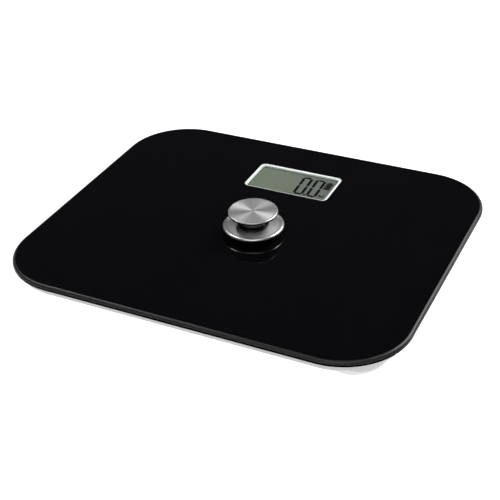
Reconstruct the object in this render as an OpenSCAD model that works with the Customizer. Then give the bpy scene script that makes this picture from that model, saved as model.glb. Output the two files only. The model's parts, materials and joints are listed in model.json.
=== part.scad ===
// Battery-free digital bathroom scale: a glass platform on a shallow tray, four load cells,
// a display under the glass, and a push knob that spins a small generator.
// Origin on the floor under the platform's centre, +Z up, +Y towards the display. Millimetres.

/* [Platform] */
// Width of the glass, left to right
platform_w = 320; // [270:5:390]
// Depth of the glass, front to back
platform_d = 270; // [225:5:330]
// Corner radius of the glass
corner_r = 52; // [44:1:60]
// Thickness of the tempered glass
glass_t = 5; // [4:0.5:8]
// Thickness of the black film behind the glass
film_t = 0.2; // [0.1:0.1:0.4]
// Thickness of the foam tape that holds the glass
tape_t = 0.6; // [0.4:0.1:1]

/* [Case] */
// Gap between the glass edge and the tray wall
tray_inset = 6; // [5:0.5:14]
// Wall and floor thickness of the tray
wall_t = 2; // [1.6:0.1:2.4]
// Height of the tray's deep pan above the floor
floor_gap = 4; // [3:0.5:6]
// Room from the pan's floor to the glass
cavity_h = 11; // [11:0.5:14]
// Thickness of the carrier plate
carrier_t = 1.8; // [1.4:0.1:2]
// Size of the deep pan, left to right
pan_w = 150; // [140:2:160]
// Distance from the pan's front to the knob's axis
pan_front = 42; // [34:1:50]
// Radius of the case screws
screw_r = 1.5; // [1.2:0.1:1.8]

/* [Feet and load cells] */
// Distance of each foot's axis from the glass edges
foot_inset = 38; // [36:1:46]
// Radius of the rubber pad
pad_r = 18.5; // [16:0.5:18.5]
// Thickness of the rubber pad
pad_t = 2.2; // [1.6:0.2:2.6]
// Radius of the foot cup
cup_r = 20.2; // [19.6:0.2:20.6]
// Height of the foot cup, up to the load cell
cup_h = 5.8; // [5.6:0.2:6.6]
// Side of the square load cell
cell_w = 33; // [30:0.5:34]
// Thickness of the load cell
cell_t = 2; // [1.6:0.2:2.4]

/* [Display] */
// Distance of the display's centre from the rear edge of the glass
display_back = 56; // [50:1:60]
// Width of the visible silver frame
bezel_w = 74.6; // [64:0.2:84]
// Depth of the visible silver frame
bezel_d = 39.8; // [34:0.2:44]
// Width of the frame's lip at each side
bezel_lip = 2; // [1.4:0.2:3]
// Width of the frame's lip along the front
bezel_lip_front = 0.7; // [0.6:0.1:2]
// Width of the frame's lip along the back
bezel_lip_back = 2.4; // [1.4:0.1:3]
// How far the display lies below the glass
bezel_drop = 1.8; // [1.2:0.2:2.4]
// Thickness of the display cell
lcd_t = 2; // [1.4:0.2:2]
// Thickness of the circuit board
board_t = 1.6; // [1:0.2:1.6]

/* [Knob] */
// Distance of the knob's axis in front of the platform's centre
knob_front = 6.4; // [0:0.2:12]
// Distance of the knob's axis to the right of the platform's centre
knob_right = 3.6; // [-6:0.2:6]
// Diameter of the knob's cap
cap_d = 38.8; // [34:0.2:46]
// Thickness of the knob's cap
cap_t = 2.2; // [2.2:0.1:4]
// Diameter of the flange below the cap
flange_d = 48.4; // [48:0.2:60]
// Thickness of the flange
flange_t = 2.4; // [2:0.1:3.5]
// Height of the collar between the glass and the flange
collar_h = 4.2; // [3:0.2:6]
// Diameter of the knob's stem
stem_d = 20.4; // [19.6:0.2:24.6]
// Travel of the knob
knob_travel = 8; // [6:0.5:8]
// Height of the cap above the flange
cap_gap = 9.4; // [9:0.1:12]

/* [Generator] */
// Advance of the twisted rod for one turn
rod_lead = 24; // [20:1:40]
// Side of the twisted rod
rod_w = 5; // [4:0.1:5.4]
// Module of the first gear pair
module_1 = 0.6; // [0.5:0.05:0.65]
// Module of the second gear pair
module_2 = 0.5; // [0.4:0.05:0.55]
// Diameter of the return spring's wire
spring_wire = 1.1; // [0.8:0.1:1.2]

/* [Hidden] */

$fn = 64;
fit = 0.05; // radial clearance of a pin or shaft in its hole
slip = 0.3; // gap between a moulded piece and its pocket

// Levels, from the floor up
z_pan = floor_gap + wall_t; // top of the pan's floor
z_glass = z_pan + cavity_h; // underside of the glass
z_top = z_glass + glass_t; // top of the glass
glue_t = 0.04; // glue line between the glass and the film
z_film = z_glass - film_t;
z_tape = z_film - tape_t; // top of the carrier
z_carrier = z_tape - carrier_t;
z_cell = pad_t + cup_h; // underside of the load cells
z_cell_top = z_cell + cell_t;
z_rim_under = z_cell + 1.1; // underside of the tray's shallow rim
z_rim = z_rim_under + wall_t;
z_wall = z_film - slip; // top of the tray's outer wall

// Glass and tray outlines
edge_r = glass_t / 2; // pencil-ground edge
tray_w = platform_w - 2 * tray_inset;
tray_d = platform_d - 2 * tray_inset;
tray_r = corner_r - tray_inset;
inner_w = tray_w - 2 * wall_t;
inner_d = tray_d - 2 * wall_t;
inner_r = tray_r - wall_t;

// Feet
foot_x = platform_w / 2 - foot_inset;
foot_y = platform_d / 2 - foot_inset;
cell_pocket = cell_w + 2 * slip + 0.4;
pod_hole_r = cup_r + 0.6;
pod_low_r = pod_hole_r + 3.6;
pod_top_r = pod_low_r + 3.6;
z_pod = pad_t + 2.3;

// Knob stack, above the glass
knob_y = -knob_front;
gasket_t = 0.4;
stem_r = stem_d / 2;
plunger_wall = 1.8;
guide_gap = 0.25; // between the stem and the collar
collar_bore_r = stem_r + guide_gap;
collar_neck_r = collar_bore_r + 1.75;
collar_hub_r = collar_bore_r + 4.75;
collar_seat_r = flange_d / 2 - 4.8;
glass_hole_r = collar_hub_r + 0.4;
z_collar = z_top + gasket_t;
z_flange = z_top + collar_h;
z_flange_top = z_flange + flange_t;
z_cap = z_flange_top + cap_gap;
z_cap_top = z_cap + cap_t;
neck_h = 1.2; // the collar's black neck, above the flange
key_w = 3;
key_out = 1;
key_h = 2.5;

// Generator, levels and places
gen_wall = 1.6;
gen_plate = 1.4;
gear_1_t = 2.8;
gear_2_t = 2;
z_gen = z_pan + gen_plate;
z_gear_1 = z_gen + 0.6;
z_gear_2 = z_gear_1 + gear_1_t + 0.4;
z_cover = z_gear_2 + gear_2_t + 0.4;
z_cover_top = z_cover + gen_wall;
teeth_drive = 60;
teeth_idler = 12;
teeth_step = 40;
teeth_rotor = 10;
idler_x = module_1 * (teeth_drive + teeth_idler) / 2;
rotor_x = idler_x + module_2 * (teeth_step + teeth_rotor) / 2;
axle_r = 1;
rotor_shaft_r = 0.8;
magnet_r = 7.4;
magnet_t = 2.9;
air_gap = 0.5;
pole_t = 2.2;
core_t = 2.4;
z_core = z_gear_1 + 0.4;
bobbin_len = 13;
bobbin_t = 0.5;
gen_lead_r = 0.45;
gen_lead_pitch = 1.2;
z_gen_lead = z_core + core_t + gen_lead_r + 0.25;
coil_x = rotor_x + 16;
gen_x0 = -module_1 * teeth_drive / 2 - 5;
gen_x1 = coil_x + 9;
gen_half_d = module_1 * teeth_drive / 2 + 5.6;
gen_screw_at = [for (x = [gen_x0 + 4, gen_x1 - 4], s = [-1, 1]) [x, s * (gen_half_d - 4)]];
gen_screw_r = 1.1;

// Drive tube, nut and twisted rod
z_plunger = z_cover_top + knob_travel + 0.3; // lower rim of the plunger at rest
tube_r = 6;
tube_bore_r = 4.8;
nut_h = 3;
z_nut_top = z_plunger - 0.3;
z_nut = z_nut_top - nut_h;
rod_flange_t = 1.3;
z_rod = z_nut - 0.7; // lower end of the rod at rest
plunger_top_t = 2;
z_rod_flange = z_cap - plunger_top_t - rod_flange_t;
rod_play = 0.25; // between the rod and the nut
cap_screw_r = 0.7;
cap_screw_head_r = 1.1;
cap_screw_head_h = 0.8;
cap_screw_circle = 5.5;
spring_r = stem_r - plunger_wall - 0.25 - spring_wire / 2; // mean radius
spring_turns = 6;
z_spring_top = z_cap - plunger_top_t;
spring_ring_points = 8;
spring_steps = 20; // rings per turn

// Display and board
display_y = platform_d / 2 - display_back;
bezel_r = 4.6;
z_lcd_top = z_glass - bezel_drop;
z_lcd = z_lcd_top - lcd_t;
lcd_w = bezel_w + 1.2;
lcd_d = bezel_d + 1.2;
bezel_flange = 3; // the frame's hidden flange, each side
carrier_window_w = bezel_w + 2 * bezel_flange + 2 * slip;
carrier_window_d = bezel_d + 2 * bezel_flange + 2 * slip;
holder_h = 2.4;
z_board_top = z_carrier - holder_h;
z_board = z_board_top - board_t;
holder_w = lcd_w + 8;
holder_d = lcd_d + 12;
board_w = max(holder_w + 20, 2 * (knob_right + coil_x + gen_lead_pitch + 1));
board_d = holder_d + 4;
board_hole_x = board_w / 2 - 3.5;
board_hole_y = board_d / 2 - 5;
board_screw_r = 1;
button_x = 24; // the unit button, from the display's centre
button_y = -14;
button_r = 5;
button_travel = 0.5;

// Pan: reaches from in front of the generator to behind the board
pan_r = 12;
pan_y0 = knob_y - pan_front;
pan_y1 = display_y + board_d / 2 + 3;
pan_d = pan_y1 - pan_y0;
pan_y = (pan_y0 + pan_y1) / 2;

// Case screws
case_screw_at = [for (sx = [-1, 1], sy = [-1, 1]) each [
    [sx * (inner_w / 2 - 10), sy * 25],
    [sx * 60, sy * (inner_d / 2 - 7.5)]]];
boss_r = 4;
head_r = 3;
head_h = 1.7;

// Leads
lead_r = 0.6;
lead_pitch = 1.4;
z_lead = max(z_rim, z_board_top) + lead_r + 0.2;
lead_bend = 5;
lead_lane_x = foot_x - 30; // the lane that the front leads follow to the rear
connector_y = 8; // connectors, either side of the display's centre line
connector_w = 4;

// ---------- shared shapes ----------

// A plate with round corners, built from boxes and quarter cylinders that share flat faces
module rounded_plate(w, d, r, h) {
    translate([-w / 2 + r, -d / 2, 0]) cube([w - 2 * r, d, h]);
    translate([-w / 2, -d / 2 + r, 0]) cube([w, d - 2 * r, h]);
    for (k = [0:3])
        rotate(90 * k) {
            half = k % 2 == 0 ? [w / 2 - r, d / 2 - r] : [d / 2 - r, w / 2 - r];
            translate([half[0], half[1], 0]) rotate_extrude(angle = 90) square([r, h]);
        }
}

// A profile carried round a rounded rectangle: x is measured outwards from the outline
module ring_sweep(w, d, r) {
    for (k = [0:3])
        rotate(90 * k) {
            half = k % 2 == 0 ? [w / 2, d / 2] : [d / 2, w / 2];
            translate([half[0] - r, half[1] - r, 0])
                rotate_extrude(angle = 90) translate([r, 0]) children();
            translate([half[0], 0, 0]) rotate([90, 0, 0])
                linear_extrude(height = 2 * (half[1] - r), center = true) children();
        }
}

module rounded_ring(w, d, r, band, h) {
    difference() {
        rounded_plate(w, d, r, h);
        translate([0, 0, -1]) rounded_plate(w - 2 * band, d - 2 * band, max(r - band, 0.4), h + 2);
    }
}

module at_each_foot() {
    for (sx = [-1, 1], sy = [-1, 1]) translate([sx * foot_x, sy * foot_y, 0]) children();
}

module at_foot(sx, sy) {
    translate([sx * foot_x, sy * foot_y, 0]) rotate(sy > 0 ? 0 : 180) children();
}

module at_display() {
    translate([0, display_y, 0]) children();
}

module at_knob() {
    translate([knob_right, knob_y, 0]) children();
}

module tube(r_out, r_in, h) {
    difference() {
        cylinder(r = r_out, h = h);
        translate([0, 0, -1]) cylinder(r = r_in, h = h + 2);
    }
}

// Involute gear with stub teeth: a tooth is centred on the X axis
gear_angle = 25;
gear_backlash = 0.05;
function involute(base_r, r) = let (a = acos(base_r / r)) tan(a) * 180 / PI - a;
function polar(r, a) = [r * cos(a), r * sin(a)];
function tooth(m, n) =
    let (pitch_r = m * n / 2, base_r = pitch_r * cos(gear_angle),
         tip_r = pitch_r + 0.8 * m, root_r = pitch_r - 1.05 * m, steps = 4,
         half = 90 / n - gear_backlash / pitch_r * 90 / PI + involute(base_r, pitch_r),
         start_r = max(base_r, root_r) + 0.001,
         radii = [for (k = [0:steps]) start_r + (tip_r - start_r) * k / steps])
    concat([polar(root_r, -half + involute(base_r, start_r))],
           [for (r = radii) polar(r, -half + involute(base_r, r))],
           [for (k = [steps:-1:0]) polar(radii[k], half - involute(base_r, radii[k]))],
           [polar(root_r, half - involute(base_r, start_r))]);
function turned(p, a) = [p[0] * cos(a) - p[1] * sin(a), p[0] * sin(a) + p[1] * cos(a)];

module gear(m, n, h) {
    linear_extrude(height = h)
        polygon([for (k = [0:n - 1], p = tooth(m, n)) turned(p, 360 * k / n)]);
}

// ---------- platform ----------

module glass_platform() {
    color([0.1, 0.1, 0.11]) translate([0, 0, z_glass]) difference() {
        union() {
            rounded_plate(platform_w - 2 * edge_r, platform_d - 2 * edge_r, corner_r - edge_r, glass_t);
            ring_sweep(platform_w - 2 * edge_r, platform_d - 2 * edge_r, corner_r - edge_r)
                intersection() {
                    translate([0, edge_r]) circle(r = edge_r);
                    square([edge_r, glass_t]);
                }
        }
        at_knob() translate([0, 0, -1]) cylinder(r = glass_hole_r, h = glass_t + 2);
    }
}

module backing_film() {
    inset = edge_r + 0.1;
    color("black") translate([0, 0, z_film]) difference() {
        rounded_plate(platform_w - 2 * inset, platform_d - 2 * inset, corner_r - inset, film_t - glue_t);
        translate([0, 0, -1]) at_knob() cylinder(r = glass_hole_r, h = film_t + 2);
        translate([0, 0, -1]) at_display()
            rounded_plate(bezel_w + 0.2, bezel_d + 0.2, bezel_r + 0.1, film_t + 2);
    }
}

module adhesive_tape() {
    band = 10;
    color("dimgray") translate([0, 0, z_tape]) {
        rounded_ring(inner_w - 4, inner_d - 4, inner_r - 2, band, tape_t);
        at_display() rounded_ring(carrier_window_w + 8, carrier_window_d + 8, 5, 4, tape_t);
    }
}

module top_carrier() {
    peg_hole_r = 1.6;
    color([0.16, 0.16, 0.17]) difference() {
        union() {
            translate([0, 0, z_carrier])
                rounded_plate(inner_w - 2 * slip, inner_d - 2 * slip, inner_r - slip, carrier_t);
            for (p = case_screw_at)
                translate([p[0], p[1], z_rim]) cylinder(r = boss_r, h = z_carrier - z_rim + 0.2);
            at_display() for (sx = [-1, 1], sy = [-1, 1])
                translate([sx * board_hole_x, sy * board_hole_y, z_board_top])
                    cylinder(r = 2.6, h = holder_h + 0.2);
        }
        at_display() translate([0, 0, z_carrier - 1])
            rounded_plate(carrier_window_w, carrier_window_d, 3, carrier_t + 2);
        at_knob() translate([(gen_x0 + gen_x1) / 2, 0, z_carrier - 1])
            rounded_plate(gen_x1 - gen_x0 + 2, 2 * gen_half_d + 2, 5, carrier_t + 2);
        for (p = case_screw_at)
            translate([p[0], p[1], z_rim - 1]) cylinder(r = screw_r + fit, h = z_tape - 0.5 - z_rim + 1);
        at_display() for (sx = [-1, 1], sy = [-1, 1])
            translate([sx * board_hole_x, sy * board_hole_y, z_board_top - 1])
                cylinder(r = board_screw_r + fit, h = holder_h + carrier_t - 0.4 + 1);
        at_each_foot() for (s = [-1, 1])
            translate([s * cell_peg, 0, z_carrier - 1]) cylinder(r = peg_hole_r, h = carrier_t + 2);
    }
}

// ---------- tray ----------

module tray_wall_profile() {
    e = wall_t;
    translate([-e, z_rim_under + e]) square([e, z_wall - z_rim_under - e]);
    intersection() {
        translate([-e, z_rim_under + e]) circle(r = e);
        translate([-e, z_rim_under]) square([e, e]);
    }
}

module base_tray() {
    rib_t = 1.2;
    rib_top = z_carrier - 0.4;
    color([0.93, 0.93, 0.92]) difference() {
        union() {
            ring_sweep(tray_w, tray_d, tray_r) tray_wall_profile();
            translate([0, 0, z_rim_under]) rounded_plate(inner_w, inner_d, inner_r, wall_t);
            translate([0, pan_y, floor_gap]) rounded_plate(pan_w, pan_d, pan_r, z_rim - floor_gap);
            intersection() {
                translate([0, 0, z_pod]) rounded_plate(tray_w, tray_d, tray_r, z_rim - z_pod);
                at_each_foot() translate([0, 0, z_pod])
                    cylinder(r1 = pod_low_r, r2 = pod_top_r, h = z_rim - z_pod);
            }
            for (x = [-60, -20, 20, 60])
                translate([x - rib_t / 2, -inner_d / 2 + 16, z_rim]) cube([rib_t, 40, rib_top - z_rim]);
            for (y = [24, 48])
                translate([-66, -inner_d / 2 + y, z_rim]) cube([132, rib_t, rib_top - z_rim]);
        }
        translate([0, pan_y, z_pan])
            rounded_plate(pan_w - 2 * wall_t, pan_d - 2 * wall_t, pan_r - wall_t, z_carrier - z_pan);
        at_each_foot() {
            translate([0, 0, z_pod - 1]) cylinder(r = pod_hole_r, h = z_cell - z_pod + 2);
            translate([-cell_pocket / 2, -cell_pocket / 2, z_cell])
                cube([cell_pocket, cell_pocket, z_carrier - z_cell]);
        }
        for (p = case_screw_at) translate([p[0], p[1], z_rim_under]) {
            translate([0, 0, -1]) cylinder(r = screw_r + 0.2, h = wall_t + 2);
            translate([0, 0, -0.01]) cylinder(r1 = head_r + 0.1, r2 = screw_r + 0.1, h = head_h);
        }
        at_display() translate([button_x, button_y, floor_gap - 1])
            cylinder(r = button_r + 0.2, h = wall_t + 2);
        at_knob() for (p = gen_screw_at)
            translate([p[0], p[1], floor_gap + 0.8]) cylinder(r = gen_screw_r + fit, h = wall_t);
    }
}

module case_screws() {
    color("silver") for (p = case_screw_at) translate([p[0], p[1], z_rim_under]) difference() {
        union() {
            cylinder(r1 = head_r, r2 = screw_r, h = head_h);
            cylinder(r = screw_r, h = z_tape - 0.8 - z_rim_under);
        }
        for (a = [0, 90]) rotate(a) translate([-1.5, -0.3, -0.1]) cube([3, 0.6, 0.9]);
    }
}

// ---------- feet and load cells ----------

cell_peg = cell_w / 2 - 2.2; // pegs of the retainer, from the cell's centre
tongue_w = cell_w * 0.36;
slot_w = 2;
gauge_y = 6.6; // the strain gauge, on the root of the tongue
gauge_half_w = 3.4;

module foot_pad() {
    color([0.32, 0.32, 0.33]) difference() {
        cylinder(r = pad_r, h = pad_t);
        for (r = [10, 13.5]) translate([0, 0, -1]) tube(r + 0.6, r - 0.6, 1.6);
    }
}

module foot_cup() {
    floor_t = 2;
    color([0.86, 0.86, 0.86]) translate([0, 0, pad_t]) {
        cylinder(r = cup_r, h = floor_t);
        translate([0, 0, floor_t]) tube(cup_r, cup_r - 2, cup_h - floor_t - 0.6);
        cylinder(r = 5.4, h = cup_h);
        cylinder(r = 1.5, h = cup_h + cell_t * 0.6);
        for (a = [0:60:300]) rotate(a) translate([5, -0.6, floor_t]) cube([cup_r - 6.4, 1.2, 1.8]);
    }
}

module load_cell() {
    arm = tongue_w / 2 + slot_w;
    color([0.74, 0.75, 0.77]) translate([0, 0, z_cell]) difference() {
        translate([-cell_w / 2, -cell_w / 2, 0]) cube([cell_w, cell_w, cell_t]);
        for (s = [-1, 1])
            translate([s * (tongue_w / 2 + slot_w / 2) - slot_w / 2, -8, -1])
                cube([slot_w, 18.5, cell_t + 2]);
        translate([-arm, -8 - slot_w, -1]) cube([2 * arm, slot_w, cell_t + 2]);
        translate([0, 0, -1]) cylinder(r = 1.5 + fit, h = cell_t + 2);
        for (sx = [-1, 1], sy = [-1, 1])
            translate([sx * (cell_w / 2 - 3), sy * (cell_w / 2 - 3), -1]) cylinder(r = 1.3, h = cell_t + 2);
    }
}

module cell_retainer() {
    outer = cell_w + 0.2;
    inner = cell_w - 7.6;
    color([0.2, 0.2, 0.21]) {
        translate([0, 0, z_cell_top]) difference() {
            translate([-outer / 2, -outer / 2, 0]) cube([outer, outer, z_carrier - z_cell_top]);
            translate([-inner / 2, -inner / 2, -1]) cube([inner, inner, z_carrier - z_cell_top + 2]);
            translate([-outer, gauge_y - 4, z_lead - lead_r - 0.3 - z_cell_top])
                cube([2 * outer, 8, 2 * lead_r + 0.6]);
        }
        for (s = [-1, 1]) translate([s * cell_peg, 0, z_carrier - 0.2]) cylinder(r = 1.5, h = 1.6);
    }
}

module strain_gauges() {
    color([0.95, 0.93, 0.86]) for (sx = [-1, 1], sy = [-1, 1]) at_foot(sx, sy)
        translate([0, gauge_y, z_cell_top]) {
            rounded_plate(10, 6, 2, 0.6);
            rounded_plate(2 * gauge_half_w, 4.8, 1.2, z_lead + lead_r + 0.2 - z_cell_top);
        }
}

// ---------- display and board ----------

module display_bezel() {
    lip_top = z_glass - 0.05;
    inner_w = bezel_w - 2 * bezel_lip;
    inner_d = bezel_d - bezel_lip_front - bezel_lip_back;
    inner_y = (bezel_lip_front - bezel_lip_back) / 2;
    color([0.9, 0.9, 0.9]) at_display() difference() {
        union() {
            translate([0, 0, z_lcd_top]) rounded_plate(bezel_w, bezel_d, bezel_r, lip_top - z_lcd_top);
            translate([0, 0, z_lcd_top]) rounded_plate(
                bezel_w + 2 * bezel_flange, bezel_d + 2 * bezel_flange, 2.6, z_film - fit - z_lcd_top);
        }
        translate([0, inner_y, z_lcd_top - 1])
            rounded_plate(inner_w, inner_d, bezel_r - 1.6, bezel_drop + 2);
    }
}

module lcd_panel() {
    ledge = 1.6;
    color([0.45, 0.49, 0.42]) at_display() {
        translate([-lcd_w / 2, -lcd_d / 2, z_lcd]) cube([lcd_w, lcd_d, lcd_t / 2]);
        translate([-lcd_w / 2, -lcd_d / 2 + ledge, z_lcd + lcd_t / 2])
            cube([lcd_w, lcd_d - 2 * ledge, lcd_t / 2]);
    }
}

module lcd_holder() {
    color([0.15, 0.15, 0.16]) at_display() translate([0, 0, z_board_top]) difference() {
        rounded_plate(holder_w, holder_d, 2, holder_h);
        translate([-lcd_w / 2 - 0.2, -lcd_d / 2 - 0.2, -1]) cube([lcd_w + 0.4, lcd_d + 0.4, holder_h + 2]);
    }
}

module contact_strips() {
    strip_w = 2.4;
    color([0.85, 0.6, 0.75]) at_display() for (s = [-1, 1])
        translate([-lcd_w / 2 + 3, s * (lcd_d / 2 - strip_w / 2 - 0.2) - strip_w / 2, z_board_top])
            cube([lcd_w - 6, strip_w, z_lcd - z_board_top]);
}

module main_board() {
    color([0.1, 0.35, 0.2]) at_display() translate([0, 0, z_board]) difference() {
        translate([-board_w / 2, -board_d / 2, 0]) cube([board_w, board_d, board_t]);
        for (sx = [-1, 1], sy = [-1, 1])
            translate([sx * board_hole_x, sy * board_hole_y, -1])
                cylinder(r = board_screw_r + 0.2, h = board_t + 2);
    }
}

module control_chip() {
    blob_r = 8;
    color([0.08, 0.08, 0.08]) at_display() translate([-14, -4, z_board]) mirror([0, 0, 1]) {
        cylinder(r = blob_r, h = 0.5);
        translate([0, 0, 0.5]) cylinder(r1 = blob_r, r2 = blob_r - 2.6, h = 0.9);
    }
}

module storage_capacitor() {
    can_r = 1.9;
    can_len = 11;
    color([0.12, 0.14, 0.3]) at_display() translate([-36, 8, z_board - can_r - 0.05]) {
        rotate([0, 90, 0]) cylinder(r = can_r, h = can_len);
        for (s = [-1, 1]) translate([can_len, s * 1, 0]) {
            rotate([0, 90, 0]) cylinder(r = 0.3, h = 2.3);
            translate([2, 0, 0]) cylinder(r = 0.3, h = can_r + 0.05);
        }
    }
}

module board_components() {
    chips = [[6, 12], [12, 12], [18, 12], [6, 16], [12, 16], [2, -18], [8, -18], [14, -18], [-30, -16],
             [-24, -16], [34, 6], [34, 10], [34, 14]];
    color([0.55, 0.45, 0.35]) at_display() for (c = chips)
        translate([c[0] - 1.2, c[1] - 0.7, z_board - 0.8]) cube([2.4, 1.4, 0.8]);
}

module lead_connectors() {
    color([0.92, 0.9, 0.84]) at_display() for (sx = [-1, 1], sy = [-1, 1])
        translate([sx * (board_w / 2 - 0.6 - connector_w / 2) - connector_w / 2,
                   sy * connector_y - 3, z_board_top]) difference() {
            cube([connector_w, 6, 2]);
            for (k = [-1:1])
                translate([sx > 0 ? connector_w - 1.5 : -1, 3 + k * lead_pitch, z_lead - z_board_top])
                    rotate([0, 90, 0]) cylinder(r = lead_r + fit, h = 2.5);
        }
}

module board_screws() {
    color("silver") at_display() for (sx = [-1, 1], sy = [-1, 1])
        translate([sx * board_hole_x, sy * board_hole_y, z_board]) {
            cylinder(r = board_screw_r, h = board_t + holder_h + 1);
            translate([0, 0, -1]) difference() {
                cylinder(r = 2, h = 1);
                for (a = [0, 90]) rotate(a) translate([-1.2, -0.25, -0.5]) cube([2.4, 0.5, 1]);
            }
        }
}

switch_h = 3;
z_switch = z_board - switch_h;
button_flange = 0.6;
z_button_top = z_pan + button_flange + fit;
stem_tip_r = 1.6;

module unit_switch() {
    color([0.2, 0.2, 0.2]) at_display() translate([button_x, button_y, z_switch]) difference() {
        translate([-3, -3, 0]) cube([6, 6, switch_h]);
        translate([0, 0, -1]) cylinder(r = stem_tip_r + 0.1, h = switch_h);
    }
}

module unit_button() {
    color([0.35, 0.36, 0.38]) at_display() translate([button_x, button_y, 0]) {
        translate([0, 0, floor_gap + 0.3]) cylinder(r = button_r, h = z_button_top - floor_gap - 0.3);
        translate([0, 0, z_pan + fit]) cylinder(r = button_r + 1.4, h = button_flange);
        translate([0, 0, z_button_top - 0.1]) cylinder(r = stem_tip_r, h = z_switch - z_button_top + 1.1);
    }
}

// ---------- leads: three colours, one from each pad of every load cell ----------

// A lead along X, round a bend and along Y, then round a bend and along X again
module lead_path(x0, y0, x1, y1, x2) {
    s = x1 < x0 ? -1 : 1;
    t = y1 > y0 ? 1 : -1;
    b = lead_bend;
    rod_x(x0, x1 - s * b, y0);
    translate([x1 - s * b, y0 + t * b, 0]) quarter_bend(b, s, -t);
    translate([x1, min(y0 + t * b, y1 - t * b), z_lead]) rotate([-90, 0, 0])
        cylinder(r = lead_r, h = abs(y1 - y0) - 2 * b);
    translate([x1 + s * b, y1 - t * b, 0]) quarter_bend(b, -s, t);
    rod_x(x1 + s * b, x2, y1);
}

module rod_x(xa, xb, y) {
    translate([min(xa, xb), y, z_lead]) rotate([0, 90, 0]) cylinder(r = lead_r, h = abs(xb - xa));
}

module quarter_bend(b, sx, sy) {
    start = sx > 0 ? (sy > 0 ? 0 : 270) : (sy > 0 ? 90 : 180);
    translate([0, 0, z_lead]) rotate(start) rotate_extrude(angle = 90)
        translate([b, 0]) circle(r = lead_r, $fn = 24);
}

module cell_leads(k) {
    end_x = board_w / 2 - 2;
    gauge_edge = foot_x - gauge_half_w;
    lead_y = foot_y + gauge_y;
    for (sx = [-1, 1]) {
        lead_path(sx * gauge_edge, -lead_y + k * lead_pitch,
                  sx * (lead_lane_x + k * lead_pitch),
                  display_y - connector_y + k * lead_pitch, sx * end_x);
        lead_path(sx * gauge_edge, lead_y + k * lead_pitch,
                  sx * (lead_lane_x - 12 - k * lead_pitch),
                  display_y + connector_y + k * lead_pitch, sx * end_x);
    }
}

module generator_lead(k) {
    at_knob() translate([coil_x + k * gen_lead_pitch, bobbin_len / 2, z_gen_lead]) rotate([-90, 0, 0])
        cylinder(r = gen_lead_r, h = display_y - board_d / 2 - knob_y - bobbin_len / 2);
}

module leads_red() {
    color("firebrick") {
        cell_leads(1);
        generator_lead(1);
    }
}

module leads_white() {
    color("whitesmoke") cell_leads(0);
}

module leads_black() {
    color([0.1, 0.1, 0.1]) {
        cell_leads(-1);
        generator_lead(-1);
    }
}

// ---------- generator ----------

module generator_outline(h) {
    translate([(gen_x0 + gen_x1) / 2, 0, 0]) rounded_plate(gen_x1 - gen_x0, 2 * gen_half_d, 4, h);
}

module generator_base() {
    wall_h = z_cover - z_gen;
    color([0.25, 0.26, 0.28]) at_knob() difference() {
        union() {
            translate([0, 0, z_pan]) generator_outline(gen_plate);
            translate([(gen_x0 + gen_x1) / 2, 0, z_gen])
                rounded_ring(gen_x1 - gen_x0, 2 * gen_half_d, 4, gen_wall, wall_h);
            for (p = gen_screw_at) translate([p[0], p[1], z_gen]) cylinder(r = 2.8, h = wall_h);
            translate([0, 0, z_gen]) cylinder(r = 4.4, h = z_gear_1 - z_gen);
            translate([0, 0, z_gen]) cylinder(r = 3, h = z_gear_1 - z_gen + 1.6);
            for (x = [idler_x, rotor_x]) translate([x, 0, z_gen]) cylinder(r = 2.2, h = z_gear_1 - z_gen);
        }
        for (p = gen_screw_at)
            translate([p[0], p[1], z_pan - 1]) cylinder(r = gen_screw_r + fit, h = z_cover - z_pan + 2);
        translate([idler_x, 0, z_pan + 0.4]) cylinder(r = axle_r + 0.02, h = cavity_h);
        translate([rotor_x, 0, z_pan + 0.4]) cylinder(r = rotor_shaft_r + fit, h = cavity_h);
        translate([coil_x - 2 * gen_lead_pitch, gen_half_d - gen_wall - 1, z_gen_lead - gen_lead_r - 0.15])
            cube([4 * gen_lead_pitch, gen_wall + 2, 2 * gen_lead_r + 0.3]);
    }
}

module generator_cover() {
    color([0.2, 0.21, 0.22]) at_knob() translate([0, 0, z_cover]) difference() {
        generator_outline(gen_wall);
        translate([0, 0, -1]) cylinder(r = tube_r + 0.1, h = gen_wall + 2);
        for (p = gen_screw_at)
            translate([p[0], p[1], -1]) cylinder(r = gen_screw_r + 0.1, h = gen_wall + 2);
        translate([idler_x, 0, -1]) cylinder(r = axle_r + 0.02, h = 2);
        translate([rotor_x, 0, -1]) cylinder(r = rotor_shaft_r + fit, h = 2);
    }
}

module generator_screws() {
    color("silver") at_knob() for (p = gen_screw_at) translate([p[0], p[1], 0]) {
        translate([0, 0, floor_gap + 1]) cylinder(r = gen_screw_r, h = z_cover_top - floor_gap - 1);
        translate([0, 0, z_cover_top]) difference() {
            cylinder(r = 2, h = 1);
            for (a = [0, 90]) rotate(a) translate([-1.3, -0.25, 0.4]) cube([2.6, 0.5, 1]);
        }
    }
}

module drive_gear() {
    bearing_h = 1.8;
    color([0.92, 0.9, 0.84]) at_knob() difference() {
        union() {
            translate([0, 0, z_gear_1]) gear(module_1, teeth_drive, gear_1_t);
            translate([0, 0, z_gear_1]) cylinder(r = tube_r, h = z_nut_top - z_gear_1);
        }
        translate([0, 0, z_gear_1 - 1]) cylinder(r = 3 + fit, h = bearing_h + 1);
        translate([0, 0, z_gear_1 + gear_1_t]) cylinder(r = tube_bore_r, h = z_nut_top - z_gear_1);
        for (a = [0:60:300]) rotate(a) translate([11.4, 0, z_gear_1 - 1]) cylinder(r = 2.8, h = gear_1_t + 2);
    }
}

// A square bar twisted about Z, so that its section has turned in step with the height
module twisted_bar(side, z, h) {
    turn = 360 / rod_lead;
    translate([0, 0, z]) rotate(z * turn)
        linear_extrude(height = h, twist = -h * turn, slices = ceil(2 * h), segments = 8)
            square(side, center = true);
}

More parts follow.
